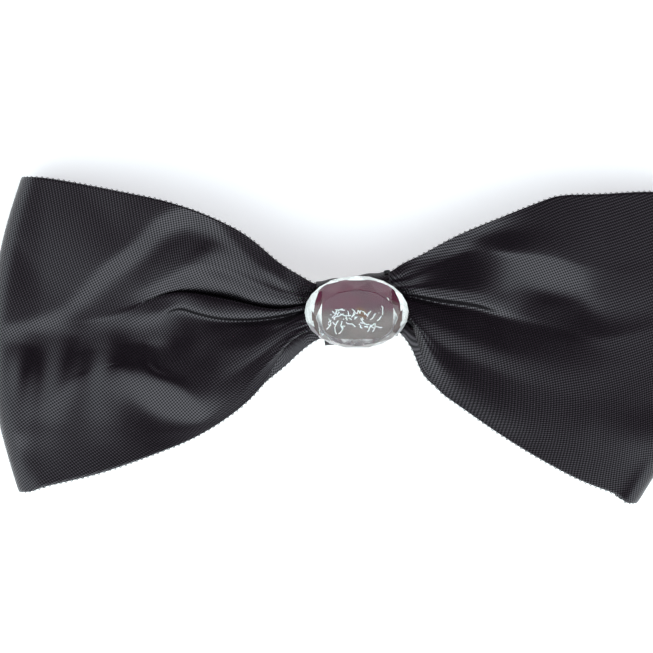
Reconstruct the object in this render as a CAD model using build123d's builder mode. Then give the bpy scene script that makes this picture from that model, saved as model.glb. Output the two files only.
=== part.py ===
"""Clip-on satin bow tie, lying on its back as it rests on a table.

One length of wide satin ribbon is folded into two flat loops, gathered at the waist by a few
turns of thread, and wrapped by a narrow ribbon band.  A flat-back faceted stone is glued on the
band, tipped a little forward, and a sprung jaw clip is glued under the waist inside the band.

Frame: +X runs along the bow to its right wing as seen from the front, +Y is the bow's upper edge,
+Z points out of the front.  The origin is at the centre of the footprint, on the table.
Units are millimetres.
"""

from build123d import *
from math import atan2, cos, degrees, hypot, pi, radians, sin, tan
import os

# ---------------------------------------------------------------- driving dimensions
RIBBON_THICK = 0.5  # the woven ribbon as one plain wall, with the small folds' bulk in it

KNOT_X, KNOT_Y = 0.5, 5.6  # centre of the waist in plan
KNOT_TURN = 8.0  # degrees, how far the waist is turned in plan

WAIST_LENGTH = 16.0  # along the bow
WAIST_HALF = 4.9  # half the gathered width
WAIST_LOW, WAIST_HIGH = 9.2, 13.4  # under and upper side of the gathered bundle

THREAD_DIAMETER = 0.4
THREAD_TURNS = 6

BAND_WIDTH = 12.8  # the narrow ribbon's own width, along the bow
BAND_THICK = 0.45
BAND_CORNER = 2.2

CLIP_LENGTH = 44.0
CLIP_NOSE = -22.5  # along the clip, from the knot's centre
SHEET = 0.7  # clip steel thickness
ARM_WIDTH = 8.0
ARM_TOP = 8.3  # height of the fixed arm's upper face
PIVOT_ALONG = 9.5
PIVOT_HIGH = 4.9
PIN_RADIUS = 1.0
PIN_GAP = 0.04  # running clearance in the ears
LEVER_WIDTH = 6.3
LEVER_LOW = 1.9  # the lever's underside below the pivot
EAR_HALF, LEVER_EAR_HALF = 2.4, 2.0  # half the length of an ear, along the clip
TOOTH_GAP = 0.3  # between the closed jaws' teeth and the arm
TOOTH_PITCH = 1.5
WIRE = 0.7  # spring wire
COIL_RADIUS = 1.6  # to the middle of the wire
COIL_TURNS, COIL_PITCH = 3.5, 0.78
LEG_LENGTH = 9.0
UPPER_LEG_HIGH, LOWER_LEG_LOW = 2.3, 2.45  # where the legs' tips stand, above and below the pivot
GLUE_ALONG = 10.5  # from the knot's centre to each pad under the waist

GEM_LENGTH, GEM_WIDTH = 18.0, 13.0
GEM_THICK = 4.6
GEM_TIP = 15.0  # degrees, how far the stone leans towards the bow's lower edge
GEM_X, GEM_Y = 0.4, 5.1
GEM_BACK_HIGH = 15.4  # height of the middle of the stone's flat back
GLUE_HALF_LONG, GLUE_HALF_WIDE = 6.2, 3.4  # the pad of glue under the stone
BEAD_LENGTH = 9.0  # of glue along the band's lapped end

os.makedirs("parts", exist_ok=True)

# ---------------------------------------------------------------- local planes
turn = radians(KNOT_TURN)
along, across = Vector(cos(turn), sin(turn), 0), Vector(-sin(turn), cos(turn), 0)
knot_centre = Vector(KNOT_X, KNOT_Y, 0)
plan = Plane(origin=knot_centre, x_dir=along, z_dir=(0, 0, 1))  # x along the clip, y across it
side = Plane(origin=knot_centre, x_dir=along, z_dir=-across)  # x along the clip, y up
section = Plane(origin=knot_centre, x_dir=across, z_dir=along)  # x across the clip, y up


def knot_point(along_mm, across_mm):
    """A point of the knot's plan as (x, y) in the part's own frame."""
    place = knot_centre + along * along_mm + across * across_mm
    return (place.X, place.Y)


def save(part, name):
    """Label a finished piece and write it as its own STEP."""
    part.label = name
    export_step(part, f"parts/{name}.step")


# ---------------------------------------------------------------- the bow ribbon
WING_START = 6.8  # from the knot's centre to where a wing leaves the band
WING_HALF = 5.2  # half a wing's width there
CAVITY_START = 12.0
LONG_EDGE = 18.0  # only the end wall's two long edges are longer

# Plan outlines, from the waist outwards: upper edge, middle of the folded end, lower edge.
left_upper = [(-14, 14.2), (-24, 21.1), (-38, 25.4), (-58.5, 28.8)]
left_bulge = (-64.2, 1.2)
left_lower = [(-13, -5.9), (-23.5, -14.3), (-38, -21.1), (-59.3, -26.6)]
right_upper = [(18.6, 18.5), (36, 25.2), (45, 25.7), (62.2, 25.6)]
right_bulge = (63.5, -2.0)
right_lower = [(13, -7.0), (26, -16.6), (38, -23.6), (50.4, -28.6)]

# Side profile of a wing: distance from the middle, height.
front_profile = [(4, 13.5), (20, 13.7), (40, 11.0), (58, 7.9), (70, 7.2)]
REAR_NEAR, REAR_DROP, REAR_FLAT = 26.0, 33.0, 41.0  # where the rear layer leaves the clip's height
REAR_HIGH = 9.0


def rear_points(lift):
    """Heights of the rear layer, raised by lift."""
    mid = REAR_HIGH / 2
    return [(REAR_NEAR, REAR_HIGH + lift), (REAR_DROP, mid + lift), (REAR_FLAT, lift)]


def plan_outline(upper, bulge, lower, start, widen):
    """A wing's outline in plan; widen pushes its two long edges outwards, and start is where it begins."""
    sign = -1 if bulge[0] < 0 else 1
    top = [(x, y + widen) for x, y in upper]
    low = [(x, y - widen) for x, y in lower]
    first_top = knot_point(sign * start, WING_HALF + widen)
    first_low = knot_point(sign * start, -WING_HALF - widen)
    Spline(first_top, *top)
    Spline(first_low, *low)
    ThreePointArc(top[-1], bulge, low[-1])
    Line(first_top, first_low)


def profile_outline(sign, start, inset):
    """A wing's side profile, inset from both its layers, from start to past the folded end."""
    front = [(sign * x, z - inset) for x, z in front_profile if x > start]
    rear = [(sign * x, z) for x, z in rear_points(inset)]
    begin_high = (sign * start, front_profile[1][1] - 0.15 - inset)
    begin_low = (sign * start, REAR_HIGH + inset)
    far = sign * front_profile[-1][0]
    Spline(begin_high, *front)
    Line(begin_high, begin_low)
    Line(begin_low, rear[0])
    Spline(*rear, tangents=[(sign, 0), (sign, 0)])
    Line(rear[-1], (far, inset))
    Line((far, inset), front[-1])


def folded_end(part_faces, sign):
    """The two long edges of a wing's end wall, which the fold rounds off."""
    wall = part_faces.sort_by(Axis.X)[-1 if sign > 0 else 0]
    return wall.edges().filter_by(lambda edge: edge.length > LONG_EDGE)


def wing_body(upper, bulge, lower, start, widen, inset, fold_radius):
    """A wing as one closed body: its plan cut by its side profile, with a rounded end."""
    sign = -1 if bulge[0] < 0 else 1
    profile_start = 2.0 if inset == 0 else start - 1.0
    with BuildPart() as body:
        with BuildSketch(Plane.XY):
            with BuildLine():
                plan_outline(upper, bulge, lower, start, widen)
            make_face()
        extrude(amount=20)
        with BuildSketch(Plane.XZ):
            with BuildLine():
                profile_outline(sign, profile_start, inset)
            make_face()
        extrude(amount=45, both=True, mode=Mode.INTERSECT)
        fillet(folded_end(body.faces(), sign), radius=fold_radius)
    return body.part


def pulled_in(upper, bulge, lower):
    """The same outline with its end one ribbon thickness further in."""
    step = RIBBON_THICK if bulge[0] < 0 else -RIBBON_THICK
    moved = [(x + step, y) for x, y in (upper[-1], lower[-1])]
    return upper[:-1] + [moved[0]], (bulge[0] + step, bulge[1]), lower[:-1] + [moved[1]]


FOLD_RADIUS = 3.4
wings = [(left_upper, left_bulge, left_lower), (right_upper, right_bulge, right_lower)]
bodies = [wing_body(*outline, WING_START, 0.0, 0.0, FOLD_RADIUS) for outline in wings]
cavities = [
    wing_body(*pulled_in(*outline), CAVITY_START, 4.0, RIBBON_THICK, FOLD_RADIUS - RIBBON_THICK)
    for outline in wings
]

with BuildPart() as bow_ribbon:
    with BuildSketch(section.offset(-WAIST_LENGTH / 2)):
        with Locations((0, (WAIST_LOW + WAIST_HIGH) / 2)):
            RectangleRounded(2 * WAIST_HALF, WAIST_HIGH - WAIST_LOW, 1.9)
    extrude(amount=WAIST_LENGTH)
    add(bodies)
    add(cavities, mode=Mode.SUBTRACT)
save(bow_ribbon.part, "bow_ribbon")

# ---------------------------------------------------------------- gathering thread
THREAD_PITCH = 0.36  # the turns lie pressed against each other
with BuildPart() as gather_thread:
    for turn_number in range(THREAD_TURNS):
        where = (turn_number - (THREAD_TURNS - 1) / 2) * THREAD_PITCH
        high = WAIST_HIGH - WAIST_LOW
        with BuildSketch(section.offset(where - THREAD_DIAMETER / 2)):
            with Locations((0, (WAIST_LOW + WAIST_HIGH) / 2)):
                RectangleRounded(2 * (WAIST_HALF + THREAD_DIAMETER), high + 2 * THREAD_DIAMETER, 2.3)
                RectangleRounded(2 * WAIST_HALF, high, 1.9, mode=Mode.SUBTRACT)
        extrude(amount=THREAD_DIAMETER)
save(gather_thread.part, "gather_thread")

# ---------------------------------------------------------------- centre band
BAND_INNER_HALF = WAIST_HALF + THREAD_DIAMETER + 0.05
BAND_INNER_HIGH = WAIST_HIGH + THREAD_DIAMETER + 0.05
BAND_INNER_LOW = ARM_TOP - SHEET - 0.05
BAND_TOP = BAND_INNER_HIGH + BAND_THICK
BAND_UNDER = BAND_INNER_LOW - BAND_THICK
LAP_FROM, LAP_TO = -2.6, 3.4  # where the band's two ends lie over each other, across the clip
band_middle = (BAND_INNER_HIGH + BAND_INNER_LOW) / 2
band_inner_tall = BAND_INNER_HIGH - BAND_INNER_LOW

with BuildPart() as centre_band:
    with BuildSketch(section.offset(-BAND_WIDTH / 2)):
        with Locations((0, band_middle)):
            RectangleRounded(
                2 * (BAND_INNER_HALF + BAND_THICK), band_inner_tall + 2 * BAND_THICK, BAND_CORNER
            )
            RectangleRounded(
                2 * BAND_INNER_HALF, band_inner_tall, BAND_CORNER - BAND_THICK, mode=Mode.SUBTRACT
            )
        with Locations(((LAP_FROM + LAP_TO) / 2, BAND_UNDER - BAND_THICK / 2)):
            Rectangle(LAP_TO - LAP_FROM, BAND_THICK)
    extrude(amount=BAND_WIDTH)
save(centre_band.part, "centre_band")

with BuildPart() as band_glue:
    # a bead along the lapped end of the band, filling its step
    with BuildSketch(section.offset(-BEAD_LENGTH / 2)):
        with BuildLine():
            Polyline(
                (LAP_TO, BAND_UNDER),
                (LAP_TO + 1.5, BAND_UNDER),
                (LAP_TO + 0.9, BAND_UNDER - 0.5),
                (LAP_TO + 0.1, BAND_UNDER - 0.75),
                (LAP_TO, BAND_UNDER - BAND_THICK),
                close=True,
            )
        make_face()
    extrude(amount=BEAD_LENGTH)
save(band_glue.part, "band_glue")

# ---------------------------------------------------------------- the stone and its glue
normal = Vector(0, -sin(radians(GEM_TIP)), cos(radians(GEM_TIP)))
gem_back = Plane(origin=(GEM_X, GEM_Y, GEM_BACK_HIGH), x_dir=(1, 0, 0), z_dir=normal)

# One ring of corners per height: half width along the bow, half width across, height, number of
# corners and where the first one stands (in steps).
GIRDLE_LOW = (0.98, 0.0, 24, 0.0)
GIRDLE_HIGH = (1.0, 0.8, 24, 0.0)
BREAK = (0.93, 2.5, 12, 0.5)
TABLE = (0.78, GEM_THICK, 12, 1.0)


def ring(size, high, corners, first):
    """The corners of one level of the stone, on the flat back's own plane."""
    steps = [2 * pi * (n + first) / corners for n in range(corners)]
    half_long, half_wide = size * GEM_LENGTH / 2, size * GEM_WIDTH / 2
    return [gem_back.from_local_coords((half_long * cos(a), half_wide * sin(a), high)) for a in steps]


def flat(*corners):
    """A flat facet through its corners."""
    return Face(Wire.make_polygon([Vector(c) for c in corners], close=True))


def closing_facets(outer, inner):
    """Triangles between a ring and one with as many or half as many corners."""
    count, step = len(outer), len(outer) // len(inner)
    facets = []
    for n in range(len(inner)):
        here, after = inner[n], inner[(n + 1) % len(inner)]
        if step == 2:
            first, middle, last = outer[2 * n], outer[2 * n + 1], outer[(2 * n + 2) % count]
            facets += [flat(first, middle, here), flat(middle, last, here), flat(last, after, here)]
        else:
            first, last = outer[n], outer[(n + 1) % count]
            facets += [flat(first, last, here), flat(last, after, here)]
    return facets


back, girdle = ring(*GIRDLE_LOW), ring(*GIRDLE_HIGH)
crown, table = ring(*BREAK), ring(*TABLE)
stone_facets = [flat(*reversed(back)), flat(*table)]
stone_facets += closing_facets(back, girdle)
stone_facets += closing_facets(girdle, crown)
stone_facets += closing_facets(crown, table)
with BuildPart() as gem:
    add(Solid(Shell(stone_facets)))
save(gem.part, "gem")

with BuildPart() as gem_glue:
    # a low pad between the band's top and the stone's back, cut off flush with both
    with BuildSketch(Plane(origin=(GEM_X, GEM_Y, BAND_TOP), x_dir=along)):
        Ellipse(GLUE_HALF_LONG, GLUE_HALF_WIDE)
    extrude(amount=4, taper=4)
    with BuildSketch(gem_back):
        Rectangle(4 * GEM_LENGTH, 4 * GEM_LENGTH)
    extrude(amount=20, mode=Mode.SUBTRACT)
save(gem_glue.part, "gem_glue")

# ---------------------------------------------------------------- the jaw clip
ARM_CORNER = 2.4  # the arm's rounded ends in plan
ARM_UNDER = ARM_TOP - SHEET
EAR_IN = ARM_WIDTH / 2 - SHEET
LEVER_OUT = LEVER_WIDTH / 2


def strip(outline, half_wide):
    """A sheet strip with this side profile, centred across the clip."""
    with BuildPart() as body:
        with BuildSketch(side):
            with BuildLine():
                Polyline(*outline, close=True)
            make_face()
        extrude(amount=half_wide, both=True)
    return body.part


def ear(root, half_long, inner, outer, hole):
    """A pair of ears with a pin hole, from the strip at height root to a rounded end on the pivot."""
    with BuildPart() as body:
        with BuildSketch(side.offset(inner)):
            with Locations((PIVOT_ALONG, PIVOT_HIGH)):
                Circle(half_long)
            with Locations((PIVOT_ALONG, (root + PIVOT_HIGH) / 2)):
                Rectangle(2 * half_long, abs(PIVOT_HIGH - root))
            with Locations((PIVOT_ALONG, PIVOT_HIGH)):
                Circle(hole, mode=Mode.SUBTRACT)
        extrude(amount=outer - inner)
        mirror(about=side)
    return body.part


CLIP_TAIL = CLIP_NOSE + CLIP_LENGTH
arm_outline = [
    (CLIP_NOSE, ARM_UNDER),
    (CLIP_TAIL, ARM_UNDER),
    (CLIP_TAIL, ARM_TOP),
    (CLIP_NOSE, ARM_TOP),
]
with BuildPart() as clip_base:
    add(strip(arm_outline, ARM_WIDTH / 2))
    fillet(clip_base.edges().filter_by(Axis.Z), ARM_CORNER)
    add(ear(ARM_UNDER + 0.1, EAR_HALF, EAR_IN, ARM_WIDTH / 2, PIN_RADIUS))
save(clip_base.part, "clip_base")

TOOTH_TOP = ARM_UNDER - TOOTH_GAP
lever_line = [
    (CLIP_NOSE + 0.3, 5.6),
    (-8.0, 5.1),
    (4.0, LEVER_LOW + 0.5),
    (PIVOT_ALONG + 4.0, LEVER_LOW),
    (CLIP_TAIL, 0.9),
]
lever_under = lever_line
lever_over = [(x, z + SHEET * 1.02) for x, z in reversed(lever_line)]
tooth = [
    (CLIP_NOSE + 0.3, 5.6),
    (CLIP_NOSE + 0.3, TOOTH_TOP),
    (CLIP_NOSE + 0.3 + SHEET, TOOTH_TOP),
    (CLIP_NOSE + 0.3 + SHEET, 5.6),
]
with BuildPart() as clip_lever:
    add(strip(lever_under + lever_over, LEVER_OUT))
    add(strip(tooth, LEVER_OUT))
    with BuildSketch(section.offset(CLIP_NOSE - 1)):
        with Locations(*[((n - 1.5) * TOOTH_PITCH, TOOTH_TOP) for n in range(4)]):
            Polygon((-0.5, 0), (0.5, 0), (0, -1.0), align=None)
    extrude(amount=4, mode=Mode.SUBTRACT)
    add(ear(LEVER_LOW + 0.35, LEVER_EAR_HALF, LEVER_OUT - SHEET, LEVER_OUT, PIN_RADIUS + PIN_GAP))
save(clip_lever.part, "clip_lever")

with BuildPart() as clip_pin:
    with BuildSketch(side.offset(-ARM_WIDTH / 2 - 0.3)):
        with Locations((PIVOT_ALONG, PIVOT_HIGH)):
            Circle(PIN_RADIUS)
    extrude(amount=ARM_WIDTH + 0.6)
    fillet(clip_pin.edges().filter_by(GeomType.CIRCLE), radius=0.15)
save(clip_pin.part, "clip_pin")

pivot = side.from_local_coords((PIVOT_ALONG, PIVOT_HIGH, 0))
coil_half = COIL_TURNS * COIL_PITCH / 2
coil = Plane(origin=pivot - side.z_dir * coil_half, x_dir=(0, 0, 1), z_dir=side.z_dir)


def wire_leg(corner, tip):
    """A straight round leg with a rounded corner, between two points of the coil's plane."""
    start, end = coil.from_local_coords(corner), coil.from_local_coords(tip)
    with BuildPart() as body:
        with BuildSketch(Plane(origin=start, z_dir=end - start)):
            Circle(WIRE / 2)
        extrude(amount=(end - start).length)
        with Locations(start, end):
            Sphere(0.52 * WIRE)
    return body.part


with BuildPart() as winding:
    with BuildLine() as turns:
        Helix(pitch=COIL_PITCH, height=2 * coil_half, radius=COIL_RADIUS)
    with BuildSketch(Plane(origin=turns.line @ 0, z_dir=turns.line % 0)):
        Circle(WIRE / 2)
    sweep(path=turns.line, is_frenet=True)

with BuildPart() as clip_spring:
    add(coil.location * winding.part)
    add(wire_leg((COIL_RADIUS, 0, 0), (UPPER_LEG_HIGH, -LEG_LENGTH, 0)))
    add(wire_leg((-COIL_RADIUS, 0, 2 * coil_half), (-LOWER_LEG_LOW, -LEG_LENGTH, 2 * coil_half)))
save(clip_spring.part, "clip_spring")

with BuildPart() as clip_glue:
    # pads of hot-melt glue that hold the fixed arm under both ends of the waist
    for sign in (-1, 1):
        with BuildSketch(plan.offset(ARM_TOP)):
            with Locations((sign * GLUE_ALONG, 0)):
                Ellipse(2.6, 3.4)
        extrude(amount=REAR_HIGH - ARM_TOP)
save(clip_glue.part, "clip_glue")
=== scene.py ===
"""Visual model of a clip-on satin bow tie, built around its packed mechanical frame.

The bow lies on its back: +X runs to the wearer-facing right wing, +Y to the bow's upper edge and
+Z out of its front.  Sizes in the classes below are millimetres; meshes are made in metres.
"""

import logging
import math
from dataclasses import dataclass, field
from enum import Enum

import bmesh
import bpy
import numpy as np
from mathutils import Matrix, Vector, noise

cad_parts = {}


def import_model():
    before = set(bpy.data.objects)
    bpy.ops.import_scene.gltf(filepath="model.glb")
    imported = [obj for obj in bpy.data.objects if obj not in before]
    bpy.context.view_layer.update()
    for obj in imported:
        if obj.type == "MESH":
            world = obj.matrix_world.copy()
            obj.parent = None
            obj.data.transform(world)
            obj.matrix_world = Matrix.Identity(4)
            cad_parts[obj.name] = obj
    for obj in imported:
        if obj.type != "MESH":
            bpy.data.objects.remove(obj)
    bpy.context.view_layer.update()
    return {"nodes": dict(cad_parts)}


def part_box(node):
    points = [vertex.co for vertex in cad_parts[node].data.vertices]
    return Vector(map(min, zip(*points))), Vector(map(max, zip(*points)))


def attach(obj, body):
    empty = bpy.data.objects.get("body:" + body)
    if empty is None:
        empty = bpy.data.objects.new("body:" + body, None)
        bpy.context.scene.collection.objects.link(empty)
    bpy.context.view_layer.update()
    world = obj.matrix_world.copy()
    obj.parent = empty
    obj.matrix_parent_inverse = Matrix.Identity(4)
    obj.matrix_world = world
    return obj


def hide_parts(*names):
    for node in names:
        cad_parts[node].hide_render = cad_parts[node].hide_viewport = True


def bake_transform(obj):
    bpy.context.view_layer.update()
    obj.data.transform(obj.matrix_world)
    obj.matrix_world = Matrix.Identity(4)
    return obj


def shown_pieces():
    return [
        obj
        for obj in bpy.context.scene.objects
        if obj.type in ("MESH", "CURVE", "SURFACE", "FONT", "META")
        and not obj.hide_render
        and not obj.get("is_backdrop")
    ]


log = logging.getLogger("bow_tie")
MM = 0.001
CURVE_STEPS = 24  # between two points of a smooth line
Point = tuple[float, float]
Spot = tuple[float, float, float]


# ------------------------------------------------------------------ small shared tools
def linear(hex_colour: str, alpha: float = 1.0) -> tuple[float, float, float, float]:
    """Turn an sRGB hex colour into linear RGBA.

    Args:
        hex_colour: Six hex digits, such as "302C33".
        alpha: Opacity to go with it.

    Returns:
        Linear red, green, blue and alpha.
    """
    parts = [int(hex_colour[n : n + 2], 16) / 255 for n in (0, 2, 4)]
    red, green, blue = (c / 12.92 if c <= 0.04045 else ((c + 0.055) / 1.055) ** 2.4 for c in parts)
    return red, green, blue, alpha


def wire(tree: bpy.types.NodeTree, node: bpy.types.Node, **inputs: object) -> None:
    """Set or link a node's inputs.

    Args:
        tree: Node tree that holds the node.
        node: The node.
        **inputs: Sockets by name, with _ for a space, or in_0, in_1 for numbered ones; each value is
            an output socket to link or a plain value.
    """
    for name, value in inputs.items():
        key = int(name[3:]) if name.startswith("in_") else name.replace("_", " ")
        if isinstance(value, bpy.types.NodeSocket):
            tree.links.new(value, node.inputs[key])
        else:
            node.inputs[key].default_value = value


def add_node(
    tree: bpy.types.NodeTree, kind: str, settings: dict | None = None, **inputs: object
) -> bpy.types.Node:
    """Add a node with its settings, and set or link its inputs.

    Args:
        tree: Node tree that gets the node.
        kind: Blender's identifier of the node's type.
        settings: Properties to set on the node itself.
        **inputs: Its inputs, as wire takes them.

    Returns:
        The new node.
    """
    node = tree.nodes.new(kind)
    for name, value in (settings or {}).items():
        setattr(node, name, value)
    wire(tree, node, **inputs)
    return node


def math_node(tree: bpy.types.NodeTree, operation: str, *values: object) -> bpy.types.NodeSocket:
    """Add a math node and give its result."""
    inputs = {f"in_{n}": value for n, value in enumerate(values)}
    return add_node(tree, "ShaderNodeMath", {"operation": operation}, **inputs).outputs[0]


def vector_math(tree: bpy.types.NodeTree, operation: str, **inputs: object) -> bpy.types.NodeSocket:
    """Add a vector math node and give its vector result."""
    return add_node(tree, "ShaderNodeVectorMath", {"operation": operation}, **inputs).outputs[0]


def spread(
    tree: bpy.types.NodeTree,
    value: bpy.types.NodeSocket,
    given: Point,
    wanted: Point = (0.0, 1.0),
    curve: str = "LINEAR",
) -> bpy.types.NodeSocket:
    """Turn a given range of values into a wanted one, held at its ends."""
    ends = {"From_Min": given[0], "From_Max": given[1], "To_Min": wanted[0], "To_Max": wanted[1]}
    settings = {"interpolation_type": curve}
    return add_node(tree, "ShaderNodeMapRange", settings, Value=value, **ends).outputs[0]


def mixed(
    tree: bpy.types.NodeTree, share: object, first: object, second: object, blend: str = "MIX"
) -> bpy.types.NodeSocket:
    """Mix two colours."""
    settings = {"data_type": "RGBA", "blend_type": blend}
    return add_node(tree, "ShaderNodeMix", settings, in_0=share, in_6=first, in_7=second).outputs[2]


def speckle(
    tree: bpy.types.NodeTree, where: bpy.types.NodeSocket, scale: float, detail: float, rough: float = 0.5
) -> bpy.types.NodeSocket:
    """Add noise of so many features to the metre."""
    noisy = add_node(tree, "ShaderNodeTexNoise", Vector=where, Scale=scale, Detail=detail, Roughness=rough)
    return noisy.outputs[0]


def bumped(
    tree: bpy.types.NodeTree, height: bpy.types.NodeSocket, strength: float, depth: float
) -> bpy.types.NodeSocket:
    """Make relief of so many millimetres from a height."""
    return add_node(tree, "ShaderNodeBump", Strength=strength, Distance=depth * MM, Height=height).outputs[0]


def finish_surface(
    tree: bpy.types.NodeTree, share: bpy.types.NodeSocket, first: bpy.types.Node, second: bpy.types.Node
) -> None:
    """Mix two shaders by a share and give the result to the material's output."""
    both = add_node(tree, "ShaderNodeMixShader", in_0=share, in_1=first.outputs[0], in_2=second.outputs[0])
    wire(tree, tree.nodes["Material Output"], Surface=both.outputs[0])


def smooth_line(points: np.ndarray, count: int) -> np.ndarray:
    """Run a smooth curve through points and step along it evenly.

    Args:
        points: Rows of coordinates that the curve passes through.
        count: How many evenly spaced steps to return.

    Returns:
        count rows along the curve.
    """
    ends = np.vstack([2 * points[0] - points[1], points, 2 * points[-1] - points[-2]])
    fine = []
    for a, b, c, d in zip(ends, ends[1:], ends[2:], ends[3:]):
        t = np.linspace(0, 1, CURVE_STEPS, endpoint=False)[:, None]
        square, cube = 2 * a - 5 * b + 4 * c - d, 3 * b - a - 3 * c + d
        fine.append(0.5 * (2 * b + (c - a) * t + square * t**2 + cube * t**3))
    dense = np.vstack([*fine, points[-1:]])
    length = np.r_[0, np.cumsum(np.linalg.norm(np.diff(dense, axis=0), axis=1))]
    steps = np.linspace(0, length[-1], count)
    return np.column_stack([np.interp(steps, length, axis) for axis in dense.T])


def across_weights(knots: np.ndarray, places: np.ndarray) -> np.ndarray:
    """Weights that turn values on a few guide lines into a smooth curve across them.

    Args:
        knots: Where the guide lines stand, ascending.
        places: Where the curve is wanted.

    Returns:
        A matrix with a row for each place and a column for each guide line.
    """
    slopes = np.zeros((len(knots), len(knots)))
    for n in range(len(knots)):
        low, high = max(n - 1, 0), min(n + 1, len(knots) - 1)
        slopes[n, high] += 1 / (knots[high] - knots[low])
        slopes[n, low] -= 1 / (knots[high] - knots[low])
    cell = np.clip(np.searchsorted(knots, places, side="right") - 1, 0, len(knots) - 2)
    gap = knots[cell + 1] - knots[cell]
    t = (places - knots[cell]) / gap
    weights = np.zeros((len(places), len(knots)))
    rows = np.arange(len(places))
    weights[rows, cell] += 2 * t**3 - 3 * t**2 + 1
    weights[rows, cell + 1] += 3 * t**2 - 2 * t**3
    weights += ((t**3 - 2 * t**2 + t) * gap)[:, None] * slopes[cell]
    weights += ((t**3 - t**2) * gap)[:, None] * slopes[cell + 1]
    return weights


def blurred(grid: np.ndarray, passes: int) -> np.ndarray:
    """Ease a grid of points towards its neighbours, keeping its border.

    Args:
        grid: Array of shape (rows, columns, 3).
        passes: How many times to ease it.

    Returns:
        The eased grid.
    """
    grid = grid.copy()
    for _ in range(passes):
        inner = (grid[2:, 1:-1] + grid[:-2, 1:-1] + grid[1:-1, 2:] + grid[1:-1, :-2]) / 4
        grid[1:-1, 1:-1] = 0.5 * grid[1:-1, 1:-1] + 0.5 * inner
        for edge in (0, -1):
            grid[edge, 1:-1] = 0.5 * grid[edge, 1:-1] + 0.25 * (grid[edge, 2:] + grid[edge, :-2])
    return grid


def make_object(name: str, mesh: bpy.types.Mesh, *materials: bpy.types.Material) -> bpy.types.Object:
    """Put a mesh in the scene as a named object with its materials."""
    thing = bpy.data.objects.new(name, mesh)
    bpy.context.scene.collection.objects.link(thing)
    for material in materials:
        mesh.materials.append(material)
    return thing


def grid_mesh(name: str, grid: np.ndarray, plan: np.ndarray) -> bpy.types.Mesh:
    """Make a quad mesh from a grid of points in millimetres, with the cloth's own plan as UVs.

    Args:
        name: Name of the mesh.
        grid: Points of shape (rows, columns, 3), in millimetres.
        plan: The same grid laid flat, of shape (rows, columns, 2), in metres.

    Returns:
        The mesh, in metres.
    """
    rows, columns = grid.shape[:2]
    index = np.arange(rows * columns).reshape(rows, columns)
    quads = (index[:-1, :-1], index[1:, :-1], index[1:, 1:], index[:-1, 1:])
    faces = np.stack(quads, axis=-1).reshape(-1, 4)
    mesh = bpy.data.meshes.new(name)
    mesh.from_pydata((grid.reshape(-1, 3) * MM).tolist(), [], faces.tolist())
    flat = mesh.uv_layers.new(name="cloth_plan")
    corners = np.empty(len(mesh.loops), np.int64)
    mesh.loops.foreach_get("vertex_index", corners)
    flat.data.foreach_set("uv", plan.reshape(-1, 2)[corners].astype(np.float32).ravel())
    mesh.shade_smooth()
    return mesh


# ------------------------------------------------------------------ finishes
def new_finish(name: str) -> tuple[bpy.types.Material, bpy.types.NodeTree, bpy.types.NodeSocket]:
    """Start a material.

    Args:
        name: Name of the material.

    Returns:
        The material, its node tree and the object coordinates in it.
    """
    material = bpy.data.materials.new(name)
    material.use_nodes = True
    tree = material.node_tree
    return material, tree, add_node(tree, "ShaderNodeTexCoord").outputs["Object"]


@dataclass(frozen=True)
class SatinFinish:
    """Black polyester satin: a filament weave whose long floats give soft, broad highlights."""

    name: str = "black_polyester_satin"
    tie_painted_shade: str = "020203"  # painted shade where a float dips under the crossing thread
    tie_lustre: float = 0.15
    float_shade: str = "100B0F"  # the long filament floats
    float_tint: str = "FFF3FC"  # of their highlights
    tie_share: float = 0.52
    tie_softness: float = 0.3
    lustre: float = 0.85
    thread_pitch: float = 0.20  # mm; every fifth thread shows, so the dots stand further apart
    harness: int = 5
    roughness: float = 0.25

    def material(self) -> bpy.types.Material:
        """Build the satin; the floats catch the light and the tie-down points are small dots of painted
        shade.
        """
        material, tree, where = new_finish(self.name)
        plan = add_node(tree, "ShaderNodeUVMap", {"uv_map": "cloth_plan"})
        repeat = self.thread_pitch * MM * math.sqrt(self.harness) / math.tau
        turned = add_node(
            tree,
            "ShaderNodeMapping",
            {"vector_type": "TEXTURE"},
            Vector=plan.outputs["UV"],
            Rotation=(0, 0, math.atan2(1, 2)),
            Scale=(repeat, repeat, 1),
        )
        axes = add_node(tree, "ShaderNodeSeparateXYZ", Vector=turned.outputs[0])
        waves = [math_node(tree, "SINE", axes.outputs[axis]) for axis in "XY"]
        level = spread(tree, math_node(tree, "ADD", *waves), (-2.0, 2.0))
        edges = (self.tie_share - self.tie_softness, self.tie_share + self.tie_softness)
        slubs = speckle(tree, where, 420.0, 3.0, 0.6)
        weave = bumped(tree, level, 0.3, 0.1)
        float_face = tree.nodes["Principled BSDF"]
        wire(
            tree,
            float_face,
            Base_Color=linear(self.float_shade),
            Roughness=spread(tree, slubs, (0.0, 1.0), (self.roughness - 0.03, self.roughness + 0.05)),
            Normal=weave,
            Specular_IOR_Level=self.lustre,
            Specular_Tint=linear(self.float_tint),
        )
        tie_face = add_node(
            tree,
            "ShaderNodeBsdfPrincipled",
            Base_Color=linear(self.tie_painted_shade),
            Roughness=0.5,
            Normal=weave,
            Specular_IOR_Level=self.tie_lustre,
        )
        shown = spread(tree, level, edges, curve="SMOOTHSTEP")
        finish_surface(tree, shown, tie_face, float_face)
        return material


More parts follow.
